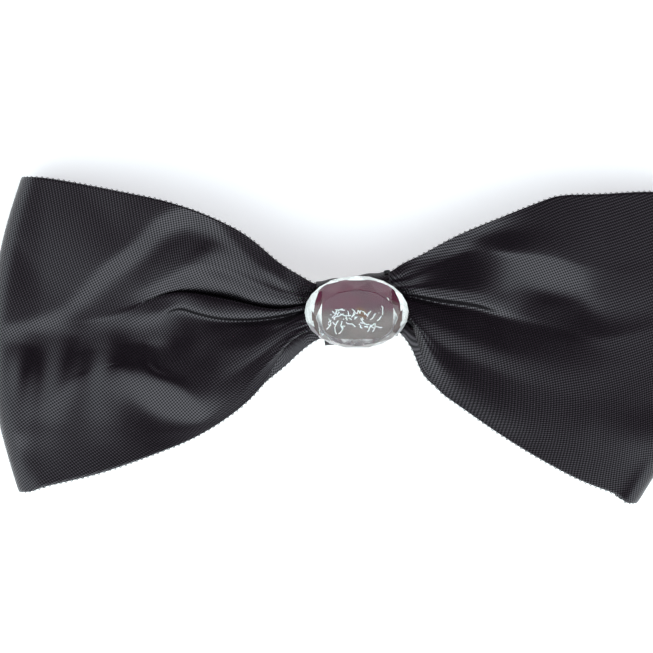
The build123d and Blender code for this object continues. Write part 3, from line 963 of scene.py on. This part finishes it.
@dataclass
class SelvagePicots:
    """The row of tiny weft loops along both woven edges of the wide ribbon."""

    spacing: float = 1.0
    loop: float = 0.17  # how far a loop stands out
    thread: float = 0.12

    def tree(self) -> bpy.types.NodeTree:
        """Build the loops: small rings set along an edge line at an even spacing."""
        floats = ("Spacing", "Loop Radius", "Thread Radius")
        tree, give = node_group("selvage_picots", floats, Edge="Geometry")
        line = add_node(tree, "GeometryNodeMeshToCurve", Mesh=give["Edge"]).outputs[0]
        evenly = {"mode": "LENGTH"}
        even = add_node(tree, "GeometryNodeResampleCurve", evenly, Curve=line, Length=give["Spacing"])
        loop = add_node(tree, "GeometryNodeCurvePrimitiveCircle", Resolution=9, Radius=give["Loop Radius"])
        ring = tube(tree, loop.outputs[0], 5, give["Thread Radius"], caps=False)
        tangent = add_node(tree, "GeometryNodeInputTangent")
        lean = add_node(tree, "FunctionNodeAlignRotationToVector", {"axis": "X"}, Vector=tangent.outputs[0])
        rings = set_on(tree, even.outputs[0], ring, Rotation=lean.outputs[0])
        finish_group(tree, rings, give["Material"])
        return tree

    def build(self, grid: np.ndarray, satin: bpy.types.Material) -> bpy.types.Object:
        """Set the loops along the two long edges of the ribbon's grid.

        Args:
            grid: The ribbon's points, of shape (rows, columns, 3), in millimetres.
            satin: The ribbon's own material.

        Returns:
            The picots as one piece.
        """
        columns = grid.shape[1]
        points = np.vstack([grid[0], grid[-1]]) * MM
        edges = [(n, n + 1) for n in range(2 * columns - 1) if n != columns - 1]
        base = bpy.data.meshes.new("selvage_lines")
        base.from_pydata(points.tolist(), edges, [])
        values = {
            "Spacing": self.spacing * MM,
            "Loop Radius": self.loop * MM,
            "Thread Radius": self.thread / 2 * MM,
            "Material": satin,
        }
        picots = grown("selvage_picots", self.tree(), values, base)
        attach(picots, "bow")
        return picots


@dataclass
class BowRibbon:
    """The wide satin ribbon: one length folded into two loops, its ends lapped behind the waist."""

    width: float = 57.0
    thickness: float = 0.3
    rows: int = 128
    waist_columns: int = 10
    lap: float = 4.0  # how far each end runs past the middle, behind the waist
    lap_step: float = 0.25  # half the height between the two lapped ends
    easing: int = 4  # passes that ease sharp corners of the surface
    left: Wing = Wing(-1, LEFT_FRONT, LEFT_REAR, FoldedEnd((-58.8, 28.7), (-59.3, -26.6), 5.0))
    right: Wing = Wing(1, RIGHT_FRONT, RIGHT_REAR, FoldedEnd((62.3, 25.6), (50.2, -28.5), 6.6))
    satin: SatinFinish = SatinFinish()
    picots: SelvagePicots = field(default_factory=SelvagePicots)

    def surface(self) -> np.ndarray:
        """Points of the whole ribbon, from its left end to its right end."""
        left, right = self.left.loop(self.rows), self.right.loop(self.rows)
        mix = np.linspace(0, 1, self.waist_columns + 2)[1:-1][:, None]
        waist = left[:, :1] * (1 - mix) + right[:, :1] * mix
        gap = right[:, -1:] - left[:, -1:]
        share = np.linspace(0, 1, self.waist_columns + 1)[1:, None] * (0.5 + self.lap / gap[..., :1])
        left_end = left[:, -1:] + share * gap - np.array([0, 0, self.lap_step])
        right_end = right[:, -1:] - share * gap + np.array([0, 0, self.lap_step])
        whole = np.concatenate([left_end[:, ::-1], left[:, ::-1], waist, right, right_end], axis=1)
        return blurred(whole, self.easing)

    def build(self) -> bpy.types.Object:
        grid = self.surface()
        steps = np.linalg.norm(np.diff(grid, axis=1), axis=2).mean(axis=0)
        along = np.r_[0, np.cumsum(steps)]
        walk = np.linalg.norm(np.diff(grid, axis=0), axis=2)
        across = np.vstack([np.zeros(grid.shape[1]), np.cumsum(walk, axis=0)])
        across = across[-1] / 2 - across
        plan = np.stack(np.broadcast_arrays(along[None, :], across), axis=-1) * MM
        name = "bow_ribbon_cloth"
        ribbon = make_object(name, grid_mesh(name, grid, plan), self.satin.material())
        give_wall(ribbon, self.thickness)
        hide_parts("bow_ribbon")
        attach(ribbon, "bow")
        log.info("bow ribbon: %.0f mm long", along[-1])
        self.picots.build(grid, ribbon.data.materials[0])
        return ribbon


@dataclass
class CentreBand:
    """The narrow ribbon wrapped once round the waist and the clip's fixed arm, its end lapped below."""

    knot: Knot = Knot()
    width: float = 12.8
    thickness: float = 0.3
    inner_half: float = 5.35
    inner_low: float = 7.55
    inner_high: float = 13.85
    corner: float = 2.2
    lap: Point = (-2.6, 3.4)  # the lapped end under the clip, from and to, across the clip
    fray_place: Spot = (5.7, 12.0, 13.3)
    rows: int = 42
    stand_off: float = 0.22  # of the cloth's middle from the inner faces
    lap_drop: float = 0.5  # of the outer end below the inner one
    creases: float = 3.2  # across the band
    crease_height: float = 0.10
    edge_drop: float = 0.25
    # its second colour, 050303, is the painted shade of the band's tie-down dots
    satin: SatinFinish = SatinFinish("brown_black_satin_band", "050303", float_shade="1A1214", lustre=0.5)

    def route(self) -> np.ndarray:
        """The band's middle line round the section: across and height, from its inner to its outer end."""
        wide, corner = self.inner_half + self.stand_off, self.corner
        low, high = self.inner_low - self.stand_off, self.inner_high + self.stand_off
        start, end = self.lap
        right, left, floor, roof = wide - corner, corner - wide, low + corner, high - corner
        points = [(start, low), (right, low)]
        quarter = np.linspace(0, math.pi / 2, 9)
        for n, (x, z) in enumerate(((right, floor), (right, roof), (left, roof), (left, floor))):
            angles = quarter + (n - 1) * math.pi / 2
            points += [(x + corner * math.cos(angle), z + corner * math.sin(angle)) for angle in angles]
        under = low - self.lap_drop
        points += [(start - 0.5, low - self.lap_drop / 2), (start + 0.6, under), (end, under)]
        unique = [points[0]] + [b for a, b in zip(points, points[1:]) if math.dist(a, b) > 0.05]
        return smooth_line(np.array(unique), 150)

    def build(self) -> bpy.types.Object:
        line = self.route()
        walk = np.r_[0, np.cumsum(np.linalg.norm(np.diff(line, axis=0), axis=1))]
        outward = np.gradient(line, axis=0)
        outward = np.column_stack([outward[:, 1], -outward[:, 0]])
        outward /= np.linalg.norm(outward, axis=1)[:, None]
        place = np.linspace(-0.5, 0.5, self.rows)[:, None]
        wave = np.sin(math.tau * (self.creases * place + 0.15 * np.sin(walk / 5)))
        lift = self.crease_height * wave * np.cos(walk / 7 + 4 * place)
        lift = lift - self.edge_drop * np.clip(np.abs(place) * 2 - 0.8, 0, 1)
        section = (line[:, axis] + lift * outward[:, axis] for axis in (0, 1))
        spots = np.stack([np.broadcast_to(place * self.width, lift.shape), *section], axis=-1)
        plan = np.stack(np.broadcast_arrays(walk[None, :], place * self.width), axis=-1) * MM
        name = "centre_band_cloth"
        band = make_object(name, grid_mesh(name, self.knot.place(spots), plan), self.satin.material())
        give_wall(band, self.thickness)
        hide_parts("centre_band")
        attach(band, "bow")
        log.info("centre band: %.0f mm long", walk[-1])
        self.fray()
        return band

    def fray(self) -> bpy.types.Object:
        """Make the small tuft of loose fibres at the band's upper right corner."""
        mesh = soft_blob("band_fray", (0.6, 0.3, 0.35), 9.3)
        corner = Vector(self.fray_place) * MM
        mesh.transform(Matrix.Translation(corner) @ Matrix.Rotation(self.knot.turn, 4, "Z"))
        fibres = ThreadFinish(name="loose_band_fibres", shade="21161A")
        tuft = make_object("band_fray", mesh, fibres.material())
        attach(tuft, "bow")
        return tuft


def soft_blob(name: str, half: Spot, seed: float, squareness: float = 0.75) -> bpy.types.Mesh:
    """A set bead of glue: a squashed, slightly uneven ball about the origin, in millimetres.

    Args:
        name: Name of the mesh.
        half: Half its size along each axis.
        seed: Number that varies the unevenness.
        squareness: 1 for an ellipsoid, less for fuller sides.

    Returns:
        The mesh, in metres.
    """
    shape = bmesh.new()
    bmesh.ops.create_icosphere(shape, subdivisions=4, radius=1.0)
    for vert in shape.verts:
        way = vert.co.normalized()
        full = Vector(math.copysign(abs(c) ** squareness, c) for c in way)
        uneven = 1 + 0.05 * noise.noise(way * 2.1 + Vector((seed, 0, 0))) - 0.05
        vert.co = Vector(f * h * uneven * MM for f, h in zip(full, half))
    mesh = bpy.data.meshes.new(name)
    shape.to_mesh(mesh)
    shape.free()
    mesh.shade_smooth()
    return mesh


@dataclass
class Stone:
    """The oval faceted acrylic stone that leans towards the bow's lower edge, and the glue behind it."""

    middle: Spot = (0.4, 5.1, 15.4)  # of its flat back
    tip: float = math.radians(15.0)
    length: float = 18.0
    width: float = 13.0
    rings: tuple[tuple[float, float, int, float], ...] = (
        (0.98, 0.0, 24, 0.0),  # size, height, corners, first corner
        (1.0, 0.8, 24, 0.0),
        (0.93, 2.5, 12, 0.5),
        (0.78, 4.6, 12, 1.0),
    )
    edge_width: float = 0.06  # of the softened edges

    def seat(self, points: np.ndarray) -> np.ndarray:
        """Tip and move points from the stone's back plane to the bow's frame."""
        cos, sin = math.cos(self.tip), math.sin(self.tip)
        y, z = points[..., 1], points[..., 2]
        turned = np.stack([points[..., 0], cos * y - sin * z, sin * y + cos * z], axis=-1)
        return turned + np.array(self.middle)

    def ring(self, size: float, high: float, corners: int, first: float) -> np.ndarray:
        """Corners of one level of the stone."""
        angle = (np.arange(corners) + first) * math.tau / corners
        across = size * self.width / 2 * np.sin(angle)
        return np.column_stack([size * self.length / 2 * np.cos(angle), across, np.full(corners, high)])

    def facets(self) -> bpy.types.Object:
        """Make the stone: flat facets with slightly softened, moulded edges."""
        levels = [self.ring(*ring) for ring in self.rings]
        starts = np.r_[0, np.cumsum([len(level) for level in levels])]
        faces = [list(range(starts[1]))[::-1], list(range(starts[3], starts[4]))]
        for n, (outer, inner) in enumerate(zip(levels, levels[1:])):
            many, few = len(outer), len(inner)
            low, high = starts[n], starts[n + 1]
            for k in range(few):
                here, after = high + k, high + (k + 1) % few
                if many == few:
                    first, last = low + k, low + (k + 1) % many
                    faces += [[first, last, here], [last, after, here]]
                else:
                    first, centre, last = low + 2 * k, low + 2 * k + 1, low + (2 * k + 2) % many
                    faces += [[first, centre, here], [centre, last, here], [last, after, here]]
        mesh = bpy.data.meshes.new("faceted_stone")
        mesh.from_pydata((self.seat(np.vstack(levels)) * MM).tolist(), [], faces)
        shape = bmesh.new()
        shape.from_mesh(mesh)
        bmesh.ops.recalc_face_normals(shape, faces=shape.faces)
        bmesh.ops.dissolve_limit(shape, angle_limit=math.radians(0.5), verts=shape.verts, edges=shape.edges)
        behind = Vector((0, math.sin(self.tip), -math.cos(self.tip)))
        for face in shape.faces:
            face.material_index = int(face.normal.dot(behind) > 0.99)
        shape.to_mesh(mesh)
        shape.free()
        finishes = (AcrylicFinish().material(), MetalFinish.STONE_BACK.material())
        stone = make_object("faceted_stone", mesh, *finishes)
        edge = stone.modifiers.new("moulded_edge", "BEVEL")
        edge.width = self.edge_width * MM
        edge.segments = 2
        edge.limit_method = "ANGLE"
        edge.angle_limit = math.radians(3)
        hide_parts("gem")
        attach(stone, "bow")
        return stone

    def backing(self) -> bpy.types.Object:
        """Make the smear of glue that fills the gap between the band and the stone's back."""
        mesh = soft_blob("stone_glue", (6.7, 5.0, 0.75), 3.1, 0.6)
        points = np.empty(len(mesh.vertices) * 3, np.float32)
        mesh.vertices.foreach_get("co", points)
        points = points.reshape(-1, 3) / MM
        points[:, 2] = np.minimum(points[:, 2] - 0.3, 0.06)  # it wets the stone's back
        mesh.vertices.foreach_set("co", (self.seat(points) * MM).astype(np.float32).ravel())
        glue = make_object("stone_glue", mesh, GlueFinish.BEHIND_STONE.material())
        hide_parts("gem_glue")
        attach(glue, "bow")
        return glue

    def strands(self) -> bpy.types.Object:
        """Make the white strings and bubbles that the glue drew out as it set against the stone."""
        floats = ("Strand Radius", "Strand Length", "Curl")
        tree, give = node_group("glue_strands", floats, Patch="Geometry", Seed="Int")
        scatter, chance = "GeometryNodeDistributePointsOnFaces", "FunctionNodeRandomValue"
        spots = add_node(tree, scatter, Mesh=give["Patch"], Density=1.6e6, Seed=give["Seed"])
        size = add_node(tree, chance, {"data_type": "FLOAT"}, in_2=0.35, in_3=1.3, Seed=3)
        long = math_node(tree, "MULTIPLY", size.outputs[1], give["Strand Length"])
        vectors = {"data_type": "FLOAT_VECTOR"}
        turn = add_node(tree, chance, vectors, in_0=(0, 0, 0), in_1=(0, 0, math.tau), Seed=5).outputs[0]
        lines = set_on(tree, spots.outputs[0], straight_line(tree, 14), Rotation=turn, Scale=long)
        real = add_node(tree, "GeometryNodeRealizeInstances", Geometry=lines)
        wander = add_node(tree, "ShaderNodeTexNoise", Scale=900.0, Detail=2.0)
        even = vector_math(tree, "SUBTRACT", in_0=wander.outputs["Color"], in_1=(0.5, 0.5, 0.5))
        drift = vector_math(tree, "MULTIPLY", in_0=even, in_1=(1, 1, 0.1))
        curl = vector_math(tree, "SCALE", in_0=drift, Scale=give["Curl"])
        curled = add_node(tree, "GeometryNodeSetPosition", Geometry=real.outputs[0], Offset=curl)
        strings = tube(tree, curled.outputs[0], 6, give["Strand Radius"])
        bubble = add_node(tree, "GeometryNodeMeshIcoSphere", Radius=0.14 * MM, Subdivisions=2)
        few = add_node(tree, scatter, Mesh=give["Patch"], Density=5e5, Seed=11)
        grow = add_node(tree, chance, {"data_type": "FLOAT"}, in_2=0.3, in_3=1.2, Seed=7)
        bubbles = set_on(tree, few.outputs[0], bubble.outputs[0], Scale=grow.outputs[1])
        both = add_node(tree, "GeometryNodeJoinGeometry", Geometry=strings)
        wire(tree, both, in_0=bubbles)
        finish_group(tree, both.outputs[0], give["Material"])
        plan = ((-4.6, 0.6), (-4.6, -2.6), (3.4, -2.8), (4.4, 1.6), (0.5, 1.4))
        corners = np.array([(x, y, 0.14) for x, y in plan])
        base = bpy.data.meshes.new("strand_patch")
        base.from_pydata((self.seat(corners) * MM).tolist(), [], [list(range(len(corners)))])
        values = {
            "Strand Radius": 0.1 * MM,
            "Strand Length": 1.4 * MM,
            "Curl": 1.1 * MM,
            "Seed": 4,
            "Material": GlueFinish.STRANDS.material(),
        }
        strands = grown("glue_strands", tree, values, base)
        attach(strands, "bow")
        return strands

    def build(self) -> None:
        """Make the stone and its glue."""
        self.facets()
        self.backing()
        self.strands()


@dataclass
class Clip:
    """The sprung jaw clip: its pressed steel parts keep their frame shape and get their metal."""

    nodes: dict[str, bpy.types.Object]
    wind_reach: float = 1.2  # the coil winds up between this far above the pin's middle and as far below
    bead_reach: float = 10.5  # of the glue beads from the knot's middle

    def bead(
        self, name: str, half: Spot, seed: float, centre: Vector, material: bpy.types.Material
    ) -> bpy.types.Object:
        """Set one glue bead on the bow, turned as the knot is.

        Args:
            name: Name of the bead.
            half: Half its size along each axis, in millimetres.
            seed: Number that varies its unevenness.
            centre: Where it sits, in metres.
            material: Its glue.

        Returns:
            The bead.
        """
        mesh = soft_blob(name, half, seed)
        mesh.transform(Matrix.Translation(centre) @ Matrix.Rotation(Knot().turn, 4, "Z"))
        bead = make_object(name, mesh, material)
        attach(bead, "bow")
        return bead

    def glue(self) -> None:
        """Make the glue beads that hold the clip's arm to the bow, and the one along the band's end."""
        low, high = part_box("clip_glue")
        middle, half = (low + high) / 2 / MM, (high - low) / 2 / MM
        material = GlueFinish.BEAD.material()
        for side, name in ((-1, "clip_glue_left"), (1, "clip_glue_right")):
            centre = Vector(Knot().place(np.array([side * self.bead_reach, 0.0, middle.z]))) * MM
            bead = self.bead(name, (2.6, 2.9, half.z), 4.0 + side, centre, material)
        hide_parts("clip_glue")
        low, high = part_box("band_glue")
        half = (4.4, 0.62, (high.z - low.z) / 2 / MM)
        bead = self.bead("band_end_glue", half, 7.7, (low + high) / 2, material)
        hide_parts("band_glue")

    def spring(self) -> bpy.types.Object:
        """Make the spring wire from the frame's spring part, with its doubled points merged."""
        shape = bmesh.new()
        shape.from_mesh(self.nodes["clip_spring"].data)
        bmesh.ops.remove_doubles(shape, verts=shape.verts, dist=0.001 * MM)
        mesh = bpy.data.meshes.new("clip_spring_wire")
        shape.to_mesh(mesh)
        shape.free()
        mesh.materials.clear()
        spring = make_object("clip_spring_wire", mesh, MetalFinish.SPRING_WIRE.material())
        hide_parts("clip_spring")
        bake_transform(spring)
        return spring

    def build(self) -> None:
        """Dress the steel parts and set the glue."""
        nickel = MetalFinish.NICKEL_PLATE.material()
        for node, material in (
            ("clip_base", nickel),
            ("clip_lever", nickel),
            ("clip_pin", MetalFinish.TURNED_PIN.material()),
        ):
            mesh = self.nodes[node].data
            mesh.materials.clear()
            mesh.materials.append(material)
        self.spring()
        self.glue()


# ------------------------------------------------------------------ studio
@dataclass
class Studio:
    """A white sheet, soft lights at its sides, and a camera straight above the bow."""

    middle: Point = (-4.8, 2.45)
    distance: float = 450.0
    shown: float = 114.3  # width of the view at the ribbon's height, mm
    ribbon_height: float = 10.0
    table_glow: float = 0.42  # the sheet lies on a light table
    sheet_half: float = 2.5  # half the sheet's side, in metres
    tent_glow: float = 2.1

    def floor(self) -> None:
        """Lay the white sheet."""
        mesh = bpy.data.meshes.new("white_sheet")
        half = self.sheet_half
        corners = [(x * half, y * half, 0) for x, y in ((-1, -1), (1, -1), (1, 1), (-1, 1))]
        mesh.from_pydata(corners, [], [(0, 1, 2, 3)])
        material = bpy.data.materials.new("matt_white_card")
        material.use_nodes = True
        tree = material.node_tree
        shader = tree.nodes["Principled BSDF"]
        wire(
            tree,
            shader,
            Base_Color=linear("FAFAF9"),
            Roughness=0.9,
            Specular_IOR_Level=0.1,
            Emission_Color=linear("FFFFFF"),
            Emission_Strength=self.table_glow,
        )
        below = add_node(tree, "ShaderNodeNewGeometry").outputs["Backfacing"]
        finish_surface(tree, below, shader, add_node(tree, "ShaderNodeBsdfTransparent"))
        make_object("white_sheet", mesh, material)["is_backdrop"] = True

    def light(self, name: str, place: Spot, size: Point, power: float, shade: str) -> None:
        """Hang one soft light that faces the bow.

        Args:
            name: Name of the light.
            place: Where it hangs, in metres.
            size: Its width and height, in metres.
            power: Its power in watts.
            shade: Its colour as sRGB hex.
        """
        data = bpy.data.lights.new(name, "AREA")
        data.shape = "RECTANGLE"
        data.size, data.size_y = size
        data.energy = power
        data.color = linear(shade)[:3]
        lamp = bpy.data.objects.new(name, data)
        lamp.location = place
        lamp.rotation_euler = (-Vector(place)).to_track_quat("-Z", "Y").to_euler()
        bpy.context.scene.collection.objects.link(lamp)

    def world(self) -> None:
        """Light the surroundings, dark overhead and bright round the sides."""
        world = bpy.data.worlds.new("light_tent")
        world.use_nodes = True
        tree = world.node_tree
        tree.nodes.clear()
        where = add_node(tree, "ShaderNodeTexCoord")
        axes = add_node(tree, "ShaderNodeSeparateXYZ", Vector=where.outputs["Generated"]).outputs
        low = math_node(tree, "MULTIPLY_ADD", axes["Z"], -1.5, 1.5)
        side = math_node(tree, "MULTIPLY_ADD", axes["X"], -0.12, low)
        aim = math_node(tree, "SUBTRACT", side, axes["Y"])
        ramp = add_node(tree, "ShaderNodeValToRGB", in_0=spread(tree, aim, (-0.5, 1.1)))
        stops = ((0.0, "26222C"), (0.31, "4C3D4C"), (0.45, "A8A4AE"), (0.62, "DCEDF0"), (0.85, "EEFCFF"))
        while len(ramp.color_ramp.elements) < len(stops):
            ramp.color_ramp.elements.new(0.5)
        for stop, (spot, shade) in zip(ramp.color_ramp.elements, stops):
            stop.position = spot
            stop.color = linear(shade)
        glow = add_node(tree, "ShaderNodeBackground", Color=ramp.outputs[0], Strength=self.tent_glow)
        add_node(tree, "ShaderNodeOutputWorld", Surface=glow.outputs[0])
        bpy.context.scene.world = world

    def camera(self) -> None:
        """Hang the camera over the bow, looking straight down."""
        data = bpy.data.cameras.new("overhead")
        data.sensor_width = 36.0
        data.lens = data.sensor_width * self.distance / self.shown
        data.clip_start, data.clip_end = 0.01, 20
        camera = bpy.data.objects.new("overhead", data)
        camera.location = Vector((*self.middle, self.ribbon_height + self.distance)) * MM
        bpy.context.scene.collection.objects.link(camera)
        bpy.context.scene.camera = camera

    def build(self) -> None:
        """Set up the sheet, the lights, the surroundings and the camera."""
        self.floor()
        self.world()
        self.light("lower_window", (-0.15, -0.95, 0.95), (1.5, 1.0), 3.0, "F0F8FB")
        self.camera()
        bpy.context.scene.view_settings.view_transform = "Standard"


def main() -> None:
    """Build the bow tie and its studio, piece by piece."""
    logging.basicConfig(level=logging.INFO, format="%(message)s")
    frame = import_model()
    Studio().build()
    BowRibbon().build()
    GatherThread().build()
    CentreBand().build()
    Stone().build()
    Clip(frame["nodes"]).build()
    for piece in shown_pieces():
        log.info("piece %s: %d points", piece.name, len(piece.data.vertices))


if __name__ == "__main__":
    main()
